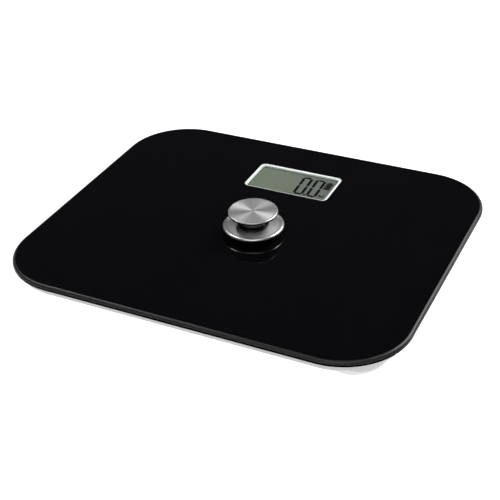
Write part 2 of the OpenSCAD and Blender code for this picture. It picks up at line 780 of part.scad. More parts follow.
module drive_nut() {
    color("goldenrod") at_knob() difference() {
        translate([0, 0, z_nut]) cylinder(r = tube_bore_r - 0.02, h = nut_h);
        twisted_bar(rod_w + 2 * rod_play, z_nut - 1, nut_h + 2);
    }
}

module twist_rod() {
    color("darkgoldenrod") at_knob() {
        twisted_bar(rod_w, z_rod, z_rod_flange - z_rod + 0.1);
        translate([0, 0, z_rod_flange]) difference() {
            cylinder(r = 6.7, h = rod_flange_t);
            at_cap_screws() translate([0, 0, -1])
                cylinder(r = cap_screw_r + fit, h = rod_flange_t + 2);
        }
    }
}

module cap_screws() {
    shank_h = rod_flange_t + plunger_top_t + cap_t / 2;
    color("silver") at_knob() at_cap_screws() translate([0, 0, z_rod_flange]) {
        cylinder(r = cap_screw_r, h = shank_h);
        translate([0, 0, -cap_screw_head_h]) difference() {
            cylinder(r = cap_screw_head_r, h = cap_screw_head_h);
            for (a = [0, 90]) rotate(a) translate([-0.7, -0.15, -0.4]) cube([1.4, 0.3, 0.8]);
        }
    }
}

module at_cap_screws() {
    for (a = [0:120:240]) rotate(a) translate([cap_screw_circle, 0, 0]) children();
}

module idler_gear() {
    color([0.9, 0.88, 0.8]) at_knob() translate([idler_x, 0, 0]) difference() {
        union() {
            translate([0, 0, z_gear_1]) rotate(180 / teeth_idler)
                gear(module_1, teeth_idler, z_gear_2 - z_gear_1 + 0.2);
            translate([0, 0, z_gear_2]) gear(module_2, teeth_step, gear_2_t);
        }
        translate([0, 0, z_gear_1 - 1]) cylinder(r = axle_r + fit, h = z_cover - z_gear_1 + 2);
    }
}

module idler_axle() {
    color("silver") at_knob() translate([idler_x, 0, z_pan + 0.4])
        cylinder(r = axle_r, h = z_cover + 1 - z_pan - 0.4);
}

module rotor_pinion() {
    color([0.9, 0.88, 0.8]) at_knob() translate([rotor_x, 0, 0]) difference() {
        union() {
            translate([0, 0, z_gear_2]) rotate(180 / teeth_rotor) gear(module_2, teeth_rotor, gear_2_t);
            translate([0, 0, z_gear_1]) cylinder(r = 1.8, h = z_gear_2 - z_gear_1 + 0.2);
        }
        translate([0, 0, z_gear_1 - 1]) cylinder(r = rotor_shaft_r + 0.02, h = z_cover - z_gear_1 + 2);
    }
}

module rotor_magnet() {
    color([0.25, 0.25, 0.27]) at_knob() translate([rotor_x, 0, z_gear_1]) tube(magnet_r, 1.82, magnet_t);
}

module rotor_shaft() {
    color("silver") at_knob() translate([rotor_x, 0, z_pan + 0.4])
        cylinder(r = rotor_shaft_r, h = z_cover + 1 - z_pan - 0.4);
}

pole_r = magnet_r + air_gap;
bridge_w = 3;

module stator_core() {
    outer = pole_r + pole_t;
    color([0.6, 0.6, 0.62]) at_knob() translate([0, 0, z_core]) {
        translate([rotor_x, 0, 0]) difference() {
            tube(outer, pole_r, core_t);
            translate([-outer - 1, -3, -1]) cube([2 * outer + 2, 6, core_t + 2]);
        }
        for (s = [-1, 1]) translate([rotor_x, s * (outer - pole_t / 2 - 0.1) - pole_t / 2 + 0.1, 0])
            cube([coil_x + bridge_w / 2 - rotor_x, pole_t - 0.2, core_t]);
        translate([coil_x - bridge_w / 2, -outer + 0.2, 0]) cube([bridge_w, 2 * outer - 0.4, core_t]);
    }
}

module coil_bobbin() {
    color([0.9, 0.9, 0.88]) at_knob() translate([coil_x, 0, z_core + core_t / 2]) difference() {
        union() {
            cube([bridge_w + 2 * bobbin_t, bobbin_len, core_t + 2 * bobbin_t], center = true);
            for (s = [-1, 1]) translate([0, s * (bobbin_len / 2 - 0.4), 0])
                cube([bridge_w + 4.4, 0.8, core_t + 2 * bobbin_t + 0.8], center = true);
        }
        cube([bridge_w + fit, bobbin_len + 2, core_t + fit], center = true);
    }
}

module coil_winding() {
    length = bobbin_len - 1.6;
    inner_x = bridge_w + 2 * bobbin_t;
    inner_z = core_t + 2 * bobbin_t;
    color([0.72, 0.4, 0.2]) at_knob() translate([coil_x, 0, z_core + core_t / 2]) difference() {
        cube([inner_x + 2.6, length, inner_z + 0.6], center = true);
        cube([inner_x, length + 1, inner_z], center = true);
    }
}

// The return spring: one closed end turn, open turns, one closed end turn
function spring_level(t) =
    let (h = z_spring_top - z_cover_top - spring_wire, flat = 0.9,
         u = min(max((t - flat) / (spring_turns - 2 * flat), 0), 1),
         ends = min(t, flat) + max(t - (spring_turns - flat), 0))
    spring_wire * 0.55 + ends * spring_wire + u * (h - 2 * flat * spring_wire) - 0.05 * spring_wire;
spring_rings = [for (k = [0:spring_turns * spring_steps]) let (t = k / spring_steps, a = 360 * t)
    [for (j = [0:spring_ring_points - 1])
        let (b = 360 * j / spring_ring_points, w = spring_wire / 2, r = spring_r + w * cos(b))
        [r * cos(a), r * sin(a), spring_level(t) + w * sin(b)]]];

module return_spring() {
    n = spring_ring_points;
    count = len(spring_rings);
    sides = [for (i = [0:count - 2], j = [0:n - 1]) each [
        [i * n + j, i * n + (j + 1) % n, (i + 1) * n + j],
        [i * n + (j + 1) % n, (i + 1) * n + (j + 1) % n, (i + 1) * n + j]]];
    ends = [[for (j = [n - 1:-1:0]) j], [for (j = [0:n - 1]) (count - 1) * n + j]];
    color("silver") at_knob() translate([0, 0, z_cover_top])
        polyhedron([for (ring = spring_rings, p = ring) p], concat(sides, ends));
}

// ---------- knob ----------

module flange_collar() {
    seat_h = z_flange - z_collar;
    z_low = z_cover_top + 0.1;
    slot_top = z_plunger + key_h + fit;
    color([0.05, 0.05, 0.05]) at_knob() difference() {
        union() {
            translate([0, 0, z_collar]) cylinder(r = collar_seat_r, h = seat_h);
            translate([0, 0, z_low]) cylinder(r = collar_hub_r, h = z_collar - z_low);
            translate([0, 0, z_flange]) cylinder(r = collar_neck_r, h = flange_t + neck_h);
        }
        translate([0, 0, z_low - 1]) cylinder(r = collar_bore_r, h = z_flange_top + neck_h - z_low + 2);
        for (a = [90, 270]) rotate(a) translate([0, -key_w / 2 - guide_gap, z_low - 1])
            cube([stem_r + key_out + guide_gap, key_w + 2 * guide_gap, slot_top - z_low + 1]);
    }
}

module collar_nut() {
    z_low = z_cover_top + 0.1;
    color([0.15, 0.15, 0.15]) at_knob() translate([0, 0, z_low]) difference() {
        tube(collar_hub_r + 5, collar_hub_r + fit, z_film - fit - z_low);
        for (a = [0:60:300]) rotate(a) translate([collar_hub_r + 3.6, -1.2, -1]) cube([3, 2.4, 4]);
    }
}

module glass_gasket() {
    color([0.12, 0.12, 0.12]) at_knob() translate([0, 0, z_top])
        tube(collar_seat_r - 0.6, glass_hole_r + 0.1, gasket_t);
}

module knob_flange() {
    r = flange_d / 2;
    bevel = 1.6;
    dish = 0.5;
    color([0.7, 0.7, 0.7]) at_knob() translate([0, 0, z_flange]) rotate_extrude() polygon([
        [collar_neck_r + fit, 0], [r - 0.5, 0], [r, 0.5], [r, flange_t - bevel], [r - bevel, flange_t],
        [r - bevel - 0.6, flange_t], [r - bevel - 2, flange_t - dish], [collar_neck_r + fit, flange_t - dish]]);
}

module plunger() {
    inner_r = stem_r - plunger_wall;
    color([0.55, 0.55, 0.56]) at_knob() difference() {
        union() {
            translate([0, 0, z_plunger]) cylinder(r = stem_r, h = z_cap - z_plunger);
            for (a = [90, 270]) rotate(a) translate([0, -key_w / 2, z_plunger])
                cube([stem_r + key_out, key_w, key_h]);
        }
        translate([0, 0, z_plunger - 1]) cylinder(r = inner_r, h = z_cap - plunger_top_t - z_plunger + 1);
        at_cap_screws() translate([0, 0, z_cap - plunger_top_t - 1])
            cylinder(r = cap_screw_r + fit, h = plunger_top_t + 2);
    }
}

module knob_cap() {
    r = cap_d / 2;
    bevel = 0.9;
    low = 1;
    color([0.75, 0.75, 0.75]) at_knob() translate([0, 0, z_cap]) difference() {
        rotate_extrude() polygon([
            [0, 0], [r - low, 0], [r, low], [r, cap_t - bevel], [r - bevel, cap_t], [0, cap_t]]);
        at_cap_screws() translate([0, 0, -1]) cylinder(r = cap_screw_r + fit, h = 1.05 + cap_t / 2);
    }
}

// ---------- nodes ----------

sides = [["front_left", -1, -1], ["front_right", 1, -1], ["rear_left", -1, 1], ["rear_right", 1, 1]];

glass_platform();
backing_film();
adhesive_tape();
top_carrier();
base_tray();
case_screws();
for (s = sides) {
    at_foot(s[1], s[2]) foot_pad();
    at_foot(s[1], s[2]) foot_cup();
    at_foot(s[1], s[2]) load_cell();
    at_foot(s[1], s[2]) cell_retainer();
}
strain_gauges();
display_bezel();
lcd_panel();
lcd_holder();
contact_strips();
main_board();
control_chip();
storage_capacitor();
board_components();
lead_connectors();
board_screws();
unit_switch();
unit_button();
leads_red();
leads_white();
leads_black();
generator_base();
generator_cover();
generator_screws();
drive_gear();
drive_nut();
idler_gear();
idler_axle();
rotor_pinion();
rotor_magnet();
rotor_shaft();
stator_core();
coil_bobbin();
coil_winding();
return_spring();
flange_collar();
collar_nut();
glass_gasket();
knob_flange();
plunger();
knob_cap();
twist_rod();
cap_screws();
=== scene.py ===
import json
import math

import bmesh
import bpy
from mathutils import Matrix, Vector


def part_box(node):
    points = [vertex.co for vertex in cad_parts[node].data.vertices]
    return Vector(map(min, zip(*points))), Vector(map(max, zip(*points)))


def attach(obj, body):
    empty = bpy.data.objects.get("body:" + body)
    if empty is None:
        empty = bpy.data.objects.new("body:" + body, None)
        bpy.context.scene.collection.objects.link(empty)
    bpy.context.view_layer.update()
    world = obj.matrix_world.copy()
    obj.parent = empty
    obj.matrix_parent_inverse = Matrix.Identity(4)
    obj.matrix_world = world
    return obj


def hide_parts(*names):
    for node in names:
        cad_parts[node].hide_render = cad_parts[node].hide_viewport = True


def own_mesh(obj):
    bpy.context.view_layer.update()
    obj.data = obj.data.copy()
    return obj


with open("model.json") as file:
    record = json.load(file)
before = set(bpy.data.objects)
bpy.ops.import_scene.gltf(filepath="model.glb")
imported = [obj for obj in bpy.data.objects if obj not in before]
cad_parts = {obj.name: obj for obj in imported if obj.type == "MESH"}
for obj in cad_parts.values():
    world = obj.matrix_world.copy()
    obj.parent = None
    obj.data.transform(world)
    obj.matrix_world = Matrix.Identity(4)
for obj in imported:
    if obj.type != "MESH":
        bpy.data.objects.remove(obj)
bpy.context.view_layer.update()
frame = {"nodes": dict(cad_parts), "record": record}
NODES = frame["nodes"]
RECORD = frame["record"]
MM = 0.001

# ---------- places, from the frame ----------

glass_low, glass_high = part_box("glass_platform")
bezel_low, bezel_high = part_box("display_bezel")
film_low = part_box("backing_film")[0]
lcd_low, lcd_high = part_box("lcd_panel")
cap_low, cap_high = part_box("knob_cap")
flange_low, flange_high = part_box("knob_flange")
spring_low, spring_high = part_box("return_spring")

GLASS_TOP = glass_high.z
KNOB = Vector(((cap_low.x + cap_high.x) / 2, (cap_low.y + cap_high.y) / 2, 0))
DISPLAY = Vector(((lcd_low.x + lcd_high.x) / 2, (lcd_low.y + lcd_high.y) / 2, 0))
HIDDEN_FLANGE = 3 * MM  # of the display's frame, each side
FRAME_W = bezel_high.x - bezel_low.x - 2 * HIDDEN_FLANGE  # visible outline of the frame
FRAME_D = bezel_high.y - bezel_low.y - 2 * HIDDEN_FLANGE
FRAME_R = 4.6 * MM
LIP_SIDE, LIP_FRONT, LIP_REAR = 2.0 * MM, 0.7 * MM, 2.4 * MM
OPENING_W, OPENING_D = FRAME_W - 2 * LIP_SIDE, FRAME_D - LIP_FRONT - LIP_REAR
OPENING_R = FRAME_R - 1.6 * MM
OPENING = DISPLAY + Vector((0, (LIP_FRONT - LIP_REAR) / 2, 0))


# ---------- camera ----------

def make_camera():
    """At the reader's right, looking down across the platform, with a slight roll."""
    azimuth, elevation, roll = math.radians(26.82), math.radians(33.29), math.radians(-2.34)
    distance, aim_right, aim_up = 0.8633, -0.0032, -0.0192
    back = Vector((math.sin(azimuth) * math.cos(elevation),
                   -math.cos(azimuth) * math.cos(elevation), math.sin(elevation)))
    right = Vector((math.cos(azimuth), math.sin(azimuth), 0))
    up = back.cross(right)
    place = Vector((0, 0, GLASS_TOP)) + back * distance + right * aim_right + up * aim_up
    rolled_right = right * math.cos(roll) + up * math.sin(roll)
    rolled_up = up * math.cos(roll) - right * math.sin(roll)
    camera = bpy.data.objects.new("camera", bpy.data.cameras.new("camera"))
    camera.matrix_world = Matrix.Translation(place) @ Matrix(
        (rolled_right, rolled_up, back)).transposed().to_4x4()
    camera.data.sensor_width, camera.data.lens = 36, 78.71  # mm
    camera.data.clip_start = 0.01
    bpy.context.collection.objects.link(camera)
    bpy.context.scene.camera = camera


# ---------- materials ----------

def new_material(name):
    mat = bpy.data.materials.new(name)
    mat.use_nodes = True
    return mat, mat.node_tree.nodes, mat.node_tree.links, mat.node_tree.nodes["Principled BSDF"]


def srgb(r, g, b):
    """Linear colour for an 8-bit screen colour."""
    def linear(c):
        c /= 255
        return c / 12.92 if c <= 0.04045 else ((c + 0.055) / 1.055) ** 2.4
    return (linear(r), linear(g), linear(b), 1)


def noise(nodes, links, scale, detail, stretch=None):
    """A noise texture over the object's own coordinates; scale is in cells a metre."""
    texture = nodes.new("ShaderNodeTexNoise")
    texture.inputs["Scale"].default_value = scale
    texture.inputs["Detail"].default_value = detail
    place = nodes.new("ShaderNodeTexCoord")
    if stretch:
        mapping = nodes.new("ShaderNodeMapping")
        mapping.inputs["Scale"].default_value = stretch
        links.new(place.outputs["Object"], mapping.inputs["Vector"])
        links.new(mapping.outputs["Vector"], texture.inputs["Vector"])
    else:
        links.new(place.outputs["Object"], texture.inputs["Vector"])
    return texture


def remap(nodes, links, value, low, high):
    """Spreads a noise, which stays mostly between 0.3 and 0.7, over low to high."""
    spread = nodes.new("ShaderNodeMapRange")
    spread.inputs["From Min"].default_value = 0.3
    spread.inputs["From Max"].default_value = 0.7
    spread.inputs["To Min"].default_value = low
    spread.inputs["To Max"].default_value = high
    links.new(value, spread.inputs["Value"])
    return spread.outputs["Result"]


def bump(nodes, links, height, relief_mm):
    node = nodes.new("ShaderNodeBump")
    node.inputs["Distance"].default_value = relief_mm * MM
    node.inputs["Strength"].default_value = 1
    links.new(height, node.inputs["Height"])
    return node.outputs["Normal"]


def two_tone(nodes, links, fac, colour, darker, lighter=1.0):
    """Mixes two strengths of a colour by fac."""
    mix = nodes.new("ShaderNodeMix")
    mix.data_type = "RGBA"
    mix.inputs["A"].default_value = [c * darker for c in colour[:3]] + [1]
    mix.inputs["B"].default_value = [min(1, c * lighter) for c in colour[:3]] + [1]
    links.new(fac, mix.inputs["Factor"])
    return mix.outputs["Result"]


def plastic(name, colour, rough, grain_mm=0.35, relief_mm=0.012, mottle=0.04):
    """Moulded plastic or rubber: a fine spark-eroded grain, and slightly uneven colour and gloss."""
    mat, nodes, links, shader = new_material(name)
    cloud = noise(nodes, links, 90, 4).outputs["Fac"]
    grain = noise(nodes, links, 1 / (grain_mm * MM), 2).outputs["Fac"]
    links.new(two_tone(nodes, links, cloud, colour, 1 - mottle, 1 + mottle), shader.inputs["Base Color"])
    links.new(remap(nodes, links, cloud, rough - 0.05, rough + 0.06), shader.inputs["Roughness"])
    links.new(bump(nodes, links, grain, relief_mm), shader.inputs["Normal"])
    return mat


def metal(name, colour, rough, stretch=(1, 1, 1), relief_mm=0.003, uneven=0.3):
    """Bright metal with faint drawn or rolled lines."""
    mat, nodes, links, shader = new_material(name)
    shader.inputs["Metallic"].default_value = 1
    streaks = noise(nodes, links, 1500, 4, stretch).outputs["Fac"]
    gloss = remap(nodes, links, streaks, rough * (1 - uneven), rough * (1 + uneven))
    links.new(two_tone(nodes, links, streaks, colour, 1 - uneven * 0.6), shader.inputs["Base Color"])
    links.new(gloss, shader.inputs["Roughness"])
    links.new(bump(nodes, links, streaks, relief_mm), shader.inputs["Normal"])
    return mat


def radius_of(nodes, links):
    """Distance from the knob's axis, in metres, as a socket."""
    place = nodes.new("ShaderNodeTexCoord")
    shift = nodes.new("ShaderNodeVectorMath")
    shift.operation = "SUBTRACT"
    shift.inputs[1].default_value = KNOB
    links.new(place.outputs["Object"], shift.inputs[0])
    flat = nodes.new("ShaderNodeVectorMath")
    flat.operation = "MULTIPLY"
    flat.inputs[1].default_value = (1, 1, 0)
    links.new(shift.outputs[0], flat.inputs[0])
    length = nodes.new("ShaderNodeVectorMath")
    length.operation = "LENGTH"
    links.new(flat.outputs[0], length.inputs[0])
    return length.outputs["Value"]


def spun_steel(name, colour, rough, anisotropy, groove_mm=0.12, relief_mm=0.0012):
    """Steel faced on a lathe: concentric grooves of uneven depth, which stretch each light into a bow."""
    mat, nodes, links, shader = new_material(name)
    shader.inputs["Metallic"].default_value = 1
    shader.inputs["Anisotropic"].default_value = anisotropy
    shader.inputs["Anisotropic Rotation"].default_value = 0.25  # a quarter turn: spread across the grooves
    tangent = nodes.new("ShaderNodeTangent")
    tangent.direction_type = "RADIAL"
    tangent.axis = "Z"
    links.new(tangent.outputs["Tangent"], shader.inputs["Tangent"])
    grooves = nodes.new("ShaderNodeTexNoise")
    grooves.noise_dimensions = "1D"
    grooves.inputs["Scale"].default_value = 1 / (groove_mm * MM)
    grooves.inputs["Detail"].default_value = 4
    links.new(radius_of(nodes, links), grooves.inputs["W"])
    depth = grooves.outputs["Fac"]
    links.new(two_tone(nodes, links, depth, colour, 0.8), shader.inputs["Base Color"])
    links.new(remap(nodes, links, depth, rough * 0.85, rough * 1.15), shader.inputs["Roughness"])
    links.new(bump(nodes, links, depth, relief_mm), shader.inputs["Normal"])
    return mat


def clear_glass(name, tint, rough=0.0):
    """Glass that bends light; lamps shine through it to what lies below."""
    mat, nodes, links, shader = new_material(name)
    shader.inputs["Base Color"].default_value = tint
    shader.inputs["Roughness"].default_value = rough
    shader.inputs["IOR"].default_value = 1.52
    shader.inputs["Transmission Weight"].default_value = 1
    lamp = nodes.new("ShaderNodeBsdfTransparent")
    lamp.inputs["Color"].default_value = (0.88, 0.9, 0.89, 1)
    rays = nodes.new("ShaderNodeLightPath")
    mix = nodes.new("ShaderNodeMixShader")
    links.new(rays.outputs["Is Shadow Ray"], mix.inputs["Fac"])
    links.new(shader.outputs["BSDF"], mix.inputs[1])
    links.new(lamp.outputs["BSDF"], mix.inputs[2])
    links.new(mix.outputs["Shader"], nodes["Material Output"].inputs["Surface"])
    return mat


def gloss_print(name, colour, rough=0.35, specular=0.5):
    """Black print: smooth, with faint mottling."""
    mat, nodes, links, shader = new_material(name)
    cloud = noise(nodes, links, 25, 3).outputs["Fac"]
    links.new(two_tone(nodes, links, cloud, colour, 0.85, 1.15), shader.inputs["Base Color"])
    shader.inputs["Roughness"].default_value = rough
    shader.inputs["Specular IOR Level"].default_value = specular
    return mat


def display_cell(name, left, right):
    """The reflective cell behind its polariser: one colour turns into the other across its pearly grain."""
    mat, nodes, links, shader = new_material(name)
    place = nodes.new("ShaderNodeTexCoord")
    split = nodes.new("ShaderNodeSeparateXYZ")
    links.new(place.outputs["Object"], split.inputs["Vector"])
    across = nodes.new("ShaderNodeMapRange")
    across.interpolation_type = "SMOOTHSTEP"
    across.inputs["From Min"].default_value = DISPLAY.x - FRAME_W * 0.35
    across.inputs["From Max"].default_value = DISPLAY.x + FRAME_W * 0.4
    links.new(split.outputs["X"], across.inputs["Value"])
    hue = nodes.new("ShaderNodeMix")
    hue.data_type = "RGBA"
    hue.inputs["A"].default_value = left
    hue.inputs["B"].default_value = right
    links.new(across.outputs["Result"], hue.inputs["Factor"])
    pearl = noise(nodes, links, 6000, 2).outputs["Fac"]
    fleck = nodes.new("ShaderNodeMix")
    fleck.data_type = "RGBA"
    fleck.blend_type = "MULTIPLY"
    fleck.inputs["Factor"].default_value = 0.12
    links.new(hue.outputs["Result"], fleck.inputs["A"])
    links.new(remap(nodes, links, pearl, 0.7, 1.0), fleck.inputs["B"])
    links.new(fleck.outputs["Result"], shader.inputs["Base Color"])
    shader.inputs["Roughness"].default_value = 0.55
    links.new(bump(nodes, links, pearl, 0.002), shader.inputs["Normal"])
    return mat


MATERIALS = {
    "platform_glass": clear_glass("platform_glass", (0.96, 0.98, 0.97, 1)),
    "black_film": gloss_print("black_film", srgb(12, 11, 13)),
    "foam_tape": plastic("foam_tape", srgb(60, 60, 60), 0.9, 0.5, 0.06),
    "black_plastic": plastic("black_plastic", srgb(38, 38, 40), 0.45),
    "white_plastic": plastic("white_plastic", srgb(228, 228, 229), 0.42),
    "zinc_steel": metal("zinc_steel", srgb(200, 200, 198), 0.28),
    "gauge_sealant": plastic("gauge_sealant", srgb(232, 228, 214), 0.5),
    "bezel_white": plastic("bezel_white", srgb(252, 252, 252), 0.3, 0.2, 0.004, 0.01),
    "lcd_glass": display_cell("lcd_glass", srgb(99, 106, 90), srgb(93, 95, 90)),
    "strip_rubber": plastic("strip_rubber", srgb(225, 180, 200), 0.5),
    "circuit_board": plastic("circuit_board", srgb(25, 92, 55), 0.35),
    "chip_resin": plastic("chip_resin", srgb(18, 18, 19), 0.2, 0.5, 0.01),
    "capacitor_sleeve": plastic("capacitor_sleeve", srgb(35, 45, 110), 0.25),
    "component_ceramic": plastic("component_ceramic", srgb(150, 125, 95), 0.5),
    "natural_nylon": plastic("natural_nylon", srgb(236, 230, 212), 0.4),
    "grey_plastic": plastic("grey_plastic", srgb(96, 98, 102), 0.45),
    "lead_red": plastic("lead_red", srgb(170, 25, 22), 0.4),
    "lead_white": plastic("lead_white", srgb(225, 225, 222), 0.4),
    "lead_black": plastic("lead_black", srgb(22, 22, 23), 0.4),
    "brass": metal("brass", srgb(200, 160, 90), 0.28),
    "magnet": metal("magnet", srgb(120, 120, 125), 0.3),
    "core_steel": metal("core_steel", srgb(140, 140, 142), 0.4, (1, 1, 6)),
    "bobbin_nylon": plastic("bobbin_nylon", srgb(222, 222, 215), 0.4),
    "copper_wire": metal("copper_wire", srgb(190, 100, 55), 0.3, (1, 0.1, 6)),
    "spring_steel": metal("spring_steel", srgb(150, 150, 150), 0.3),
    "collar_black": plastic("collar_black", srgb(20, 20, 21), 0.18, 0.2, 0.002),
    "seal_rubber": plastic("seal_rubber", srgb(20, 20, 20), 0.6),
    "spun_steel": spun_steel("spun_steel", srgb(230, 230, 229), 0.53, 0.68),
    "spun_flange": spun_steel("spun_flange", srgb(230, 230, 230), 0.6, 0.38),
    "stem_steel": spun_steel("stem_steel", srgb(120, 120, 122), 0.3, 0.5),
    "foot_rubber": plastic("foot_rubber", srgb(95, 95, 97), 0.7, 0.4, 0.03),
    "foot_grey": plastic("foot_grey", srgb(216, 216, 216), 0.45),
    "cell_steel": metal("cell_steel", srgb(190, 190, 192), 0.3, (1, 8, 1)),
}
POLISHED = metal("polished_rim", srgb(232, 232, 231), 0.34, relief_mm=0.0, uneven=0.08)
# painted shade: a dark copy of the steel for the sides and undersides of the knob's discs
PAINTED_SHADE_UNDERSIDE = metal("painted_shade_underside", srgb(44, 44, 46), 0.5)
RIM_TILT = 0.3  # a rim is polished where its surface turns up at least this much, and gets painted shade (a dark copy of the steel) where it turns up less
FACE_TILT = 0.98  # the cap's spun face turns up at least this much
GROUND_GLASS = clear_glass("ground_edge", (0.7, 0.73, 0.715, 1), 0.4)
# black print on the flat back of the glass, also laid over the lower half of the ground edge as painted shade
BACK_PRINT_AND_EDGE_SHADE = gloss_print("back_print_and_edge_shade", srgb(7, 6, 8), 0.8, 0.0)
SEGMENT_INK = gloss_print("segment_ink", srgb(2, 2, 2), 1.0, 0.0)

for part in RECORD["subparts"]:
    node = NODES[part["node"]]
    node.data.materials.clear()
    node.data.materials.append(MATERIALS[part["material_slot"]])


# ---------- mesh helpers ----------

def finish_mesh(name, bm, material, crease_deg=32, body="case", flat_z=False):
    """Turns a bmesh into a piece that rides on a body: smooth, with edges sharper than crease_deg kept.

    With flat_z, faces that look straight up or down are left flat, with sharp borders."""
    bmesh.ops.remove_doubles(bm, verts=bm.verts, dist=1e-7)
    bmesh.ops.recalc_face_normals(bm, faces=bm.faces)
    limit = math.radians(crease_deg)
    for face in bm.faces:
        face.smooth = not (flat_z and abs(face.normal.z) > 0.9999)
    for edge in bm.edges:
        edge.smooth = (len(edge.link_faces) == 2 and edge.calc_face_angle(0) < limit
                       and edge.link_faces[0].smooth == edge.link_faces[1].smooth)
    mesh = bpy.data.meshes.new(name)
    bm.to_mesh(mesh)
    bm.free()
    piece = bpy.data.objects.new(name, mesh)
    mesh.materials.append(material)
    bpy.context.collection.objects.link(piece)
    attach(piece, body)
    return piece


def skin(bm, rings, closed=True):
    """Quads between rings of equal length, and from the last ring back to the first if closed."""
    for lower, upper in zip(rings, rings[1:] + (rings[:1] if closed else [])):
        for a, b, c, d in zip(lower, lower[1:] + lower[:1], upper[1:] + upper[:1], upper):
            bm.faces.new((a, b, c, d))


def outline_ring(bm, centre, outline, height):
    return [bm.verts.new((centre.x + x, centre.y + y, height)) for x, y in outline]


def lathe(name, profile, material, body, steps=192, crease_deg=25):
    """A piece of revolution about the knob's axis: profile is a closed loop of (radius, height)."""
    bm = bmesh.new()
    rings = []
    for radius, height in profile:
        if radius < 1e-6:
            rings.append([bm.verts.new(KNOB + Vector((0, 0, height)))])
        else:
            rings.append([bm.verts.new(KNOB + Vector((
                radius * math.cos(math.tau * k / steps), radius * math.sin(math.tau * k / steps), height)))
                for k in range(steps)])
    for lower, upper in zip(rings, rings[1:] + rings[:1]):
        for k in range(steps):
            nxt = (k + 1) % steps
            if len(lower) == 1 and len(upper) == 1:
                break
            if len(lower) == 1:
                bm.faces.new((lower[0], upper[nxt], upper[k]))
            elif len(upper) == 1:
                bm.faces.new((lower[k], lower[nxt], upper[0]))
            else:
                bm.faces.new((lower[k], lower[nxt], upper[nxt], upper[k]))
    return finish_mesh(name, bm, material, crease_deg, body)


def arc(cx, cz, radius, start_deg, end_deg, steps):
    """Points on an arc in the (radius, height) plane."""
    return [(cx + radius * math.cos(math.radians(start_deg + (end_deg - start_deg) * k / steps)),
             cz + radius * math.sin(math.radians(start_deg + (end_deg - start_deg) * k / steps)))
            for k in range(steps + 1)]


def rounded_outline(width, depth, radius, steps=24):
    """A rounded rectangle about the origin, anticlockwise, starting at the right-hand side."""
    points = []
    for quarter, (sx, sy) in enumerate(((1, 1), (-1, 1), (-1, -1), (1, -1))):
        cx, cy = sx * (width / 2 - radius), sy * (depth / 2 - radius)
        for k in range(steps + 1):
            a = math.radians(90 * (quarter + k / steps))
            points.append((cx + radius * math.cos(a), cy + radius * math.sin(a)))
    return points


# ---------- platform ----------

def make_platform():
    """The glass plate: pencil-ground edge, hole for the knob, black print below round the display, carried up
    over the lower half of the edge as painted shade.
    """
    width, depth = glass_high.x - glass_low.x, glass_high.y - glass_low.y
    half, middle = (glass_high.z - glass_low.z) / 2, (glass_high.z + glass_low.z) / 2
    corner, hole, window_gap = 52 * MM, 15.6 * MM, 0.1 * MM
    edge_step_deg, corner_steps, hole_steps, window_steps = 6, 40, 96, 12
    print_and_shade_slot, ground_slot = 1, 2
    edge_shade_up_to_deg = 12  # the black print runs up over the lower half of the ground edge, as painted shade
    bm = bmesh.new()

    def ring_of(points, height):
        return [bm.verts.new((x, y, height)) for x, y in points]

    def edges_of(ring):
        pairs = zip(ring, ring[1:] + ring[:1])
        return [bm.edges.get(pair) or bm.edges.new(pair) for pair in pairs]

    def band(lower, upper, material_index=0):
        for a, b, c, d in zip(lower, lower[1:] + lower[:1], upper[1:] + upper[:1], upper):
            bm.faces.new((a, b, c, d)).material_index = material_index

    rings = []
    for a in range(-90, 91, edge_step_deg):
        inset = half - half * math.cos(math.radians(a))
        outline = rounded_outline(width - 2 * inset, depth - 2 * inset, corner - inset, corner_steps)
        rings.append(ring_of(outline, middle + half * math.sin(math.radians(a))))
    for k, (lower, upper) in enumerate(zip(rings, rings[1:])):
        top_deg = -90 + edge_step_deg * (k + 1)
        band(lower, upper, print_and_shade_slot if top_deg <= edge_shade_up_to_deg else ground_slot)
    circle = [(KNOB.x + hole * math.cos(math.tau * k / hole_steps),
               KNOB.y + hole * math.sin(math.tau * k / hole_steps)) for k in range(hole_steps)]
    hole_low, hole_high = ring_of(circle, glass_low.z), ring_of(circle, glass_high.z)
    band(hole_high, hole_low)
    window = rounded_outline(FRAME_W + 2 * window_gap, FRAME_D + 2 * window_gap,
                             FRAME_R + window_gap, window_steps)
    window_low = outline_ring(bm, DISPLAY, window, glass_low.z)
    bmesh.ops.triangle_fill(bm, use_beauty=True, edges=edges_of(rings[-1]) + edges_of(hole_high))
    fill = bmesh.ops.triangle_fill(bm, use_beauty=True,
                                   edges=edges_of(rings[0]) + edges_of(hole_low) + edges_of(window_low))
    for face in fill["geom"]:
        if isinstance(face, bmesh.types.BMFace):
            face.material_index = print_and_shade_slot
    bm.faces.new(window_low)
    plate = finish_mesh("glass_plate", bm, MATERIALS["platform_glass"], 40, flat_z=True)
    plate.data.materials.append(BACK_PRINT_AND_EDGE_SHADE)
    plate.data.materials.append(GROUND_GLASS)
    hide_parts("glass_platform")


# ---------- knob ----------

def polish_and_shade_rim(disc, on_rim):
    """Polishes the rim of a spun disc where it turns up, and paints shade on it where it turns down: a dark
    copy of the steel on its side and underside.
    """
    disc.data.materials.append(POLISHED)
    disc.data.materials.append(PAINTED_SHADE_UNDERSIDE)
    for face in disc.data.polygons:
        if on_rim(face):
            face.material_index = 1 if face.normal.z > RIM_TILT else 2


